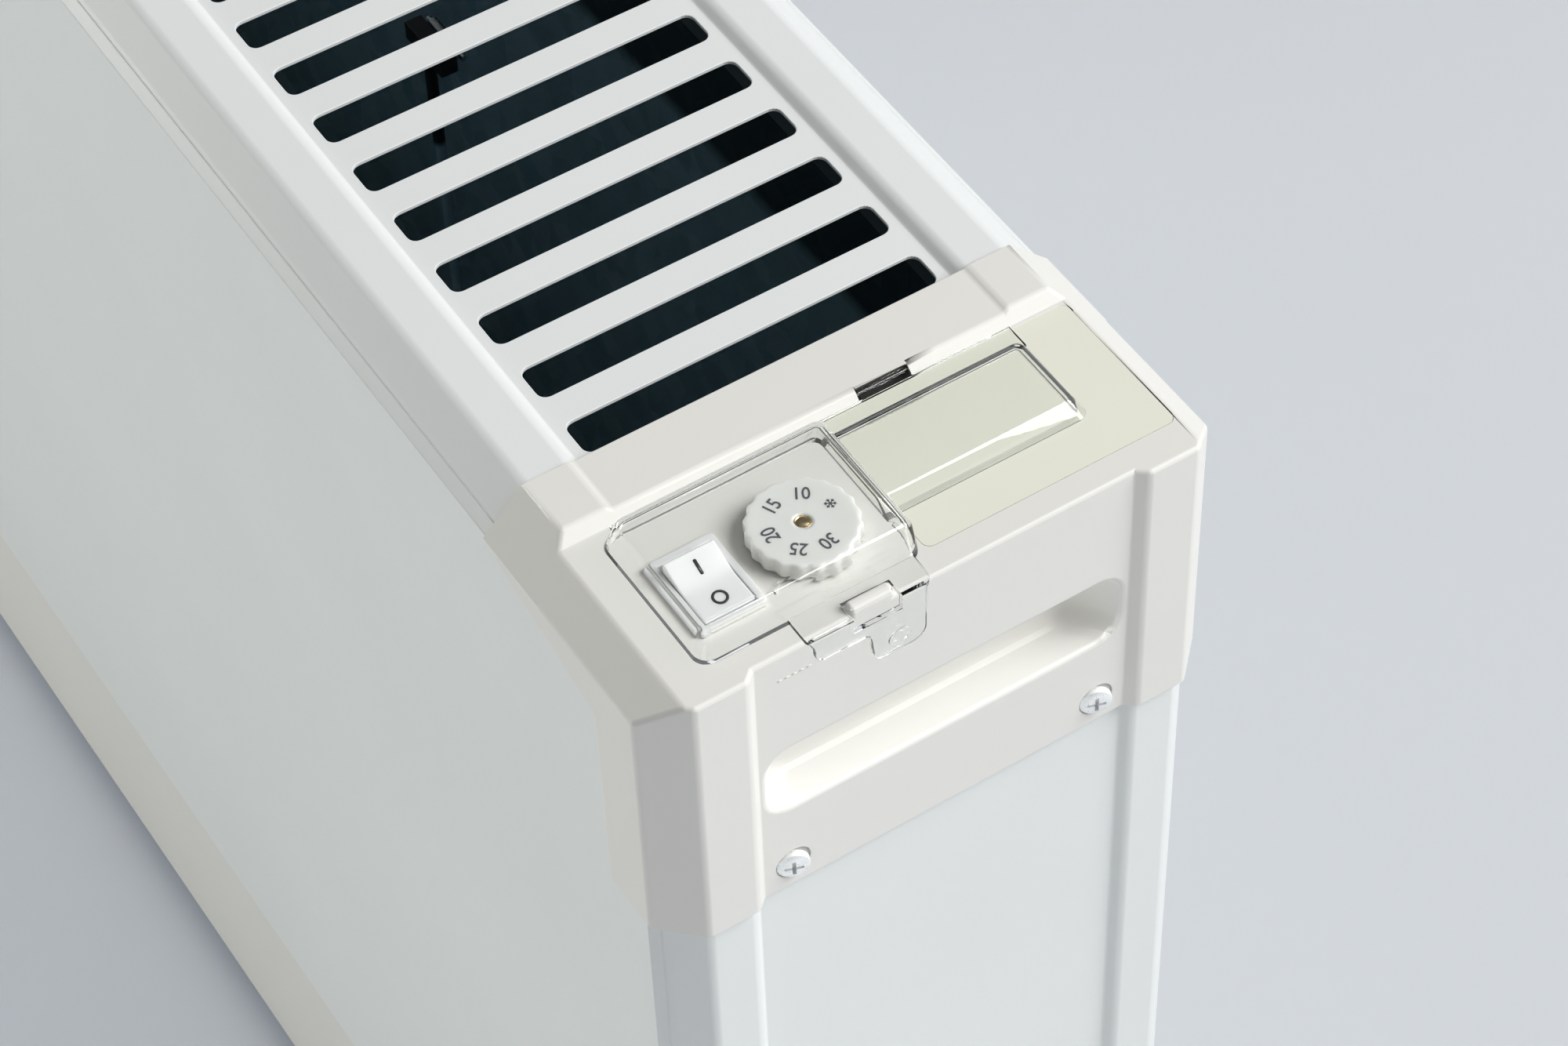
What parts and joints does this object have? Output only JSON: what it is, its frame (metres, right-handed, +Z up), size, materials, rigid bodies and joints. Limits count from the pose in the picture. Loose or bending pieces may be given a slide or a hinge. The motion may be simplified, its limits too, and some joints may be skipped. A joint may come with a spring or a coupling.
{
  "type": "floor convector",
  "caption": "Slim electric floor convector: white steel casing on a plinth, slotted top grille, moulded end caps, and a dial and rocker switch under a hinged clear cover.",
  "frame": {"origin": "on the floor, under the middle of the casing", "axes": "+X along the casing towards the end with the controls, +Y from the front to the rear, +Z up"},
  "size_m": [0.665, 0.138, 0.4443],
  "materials": {
    "white_steel": "satin powder coat",
    "white_plastic": "satin moulded",
    "clear_plastic": "clear gloss moulded",
    "cream_plate": "smooth satin",
    "dial_plastic": "translucent satin",
    "switch_white": "gloss",
    "black_plastic": "matte",
    "black_steel": "satin black",
    "galvanised_steel": "galvanised",
    "tube_steel": "dull heat tinted",
    "aluminium": "mill",
    "zinc": "bright zinc plate",
    "brass": "turned",
    "copper": "drawn",
    "ceramic": "matt",
    "wire_sleeve": "smooth",
    "rubber": "matt"
  },
  "bodies": {
    "casing": {"top_grille": "white_steel", "front_panel": "white_steel", "rear_panel": "white_steel", "right_end_panel": "white_steel", "left_end_panel": "white_steel", "plinth": "white_plastic", "intake_plate": "galvanised_steel", "lower_rails": "galvanised_steel", "control_cap": "white_plastic", "plain_cap": "white_plastic", "name_plate": "cream_plate", "thermostat_body": "black_plastic", "capillary_bulb": "copper", "bulb_clips": "galvanised_steel", "switch_housing": "switch_white", "switch_terminals": "zinc", "control_cap_screws": "zinc", "plain_cap_screws": "zinc", "right_partition": "galvanised_steel", "left_partition": "galvanised_steel", "heater_tube": "tube_steel", "heater_fins": "aluminium", "heater_bushings": "ceramic", "heater_terminals": "zinc", "front_heat_shield": "galvanised_steel", "rear_heat_shield": "galvanised_steel", "tube_support": "black_steel", "support_screws": "zinc", "overheat_link": "zinc", "thermal_cutout": "ceramic", "terminal_block": "ceramic", "earth_stud": "brass", "cord_gland": "black_plastic", "gland_nut": "black_plastic", "wiring": "wire_sleeve", "rubber_feet": "rubber", "foot_screws": "zinc", "plinth_screws": "zinc", "panel_screws": "zinc"},
    "dial": {"thermostat_dial": "dial_plastic", "thermostat_spindle": "brass"},
    "rocker": {"switch_rocker": "switch_white"},
    "cover": {"control_cover": "clear_plastic"}
  },
  "joints": [
    {"name": "dial_turn", "type": "hinge", "parent": "casing", "child": "dial", "pos_m": [0.3078, -0.0191, 0.4363], "axis": [0, 0, 1], "range_deg": [-65, 207]},
    {"name": "rocker_press", "type": "hinge", "parent": "casing", "child": "rocker", "pos_m": [0.3078, -0.0417, 0.43335], "axis": [0, -1, 0], "range_deg": [0, 20]},
    {"name": "cover_hinge", "type": "hinge", "parent": "casing", "child": "cover", "pos_m": [0.2822, 0.0165, 0.4363], "axis": [0, -1, 0], "range_deg": [0, 95]}
  ]
}
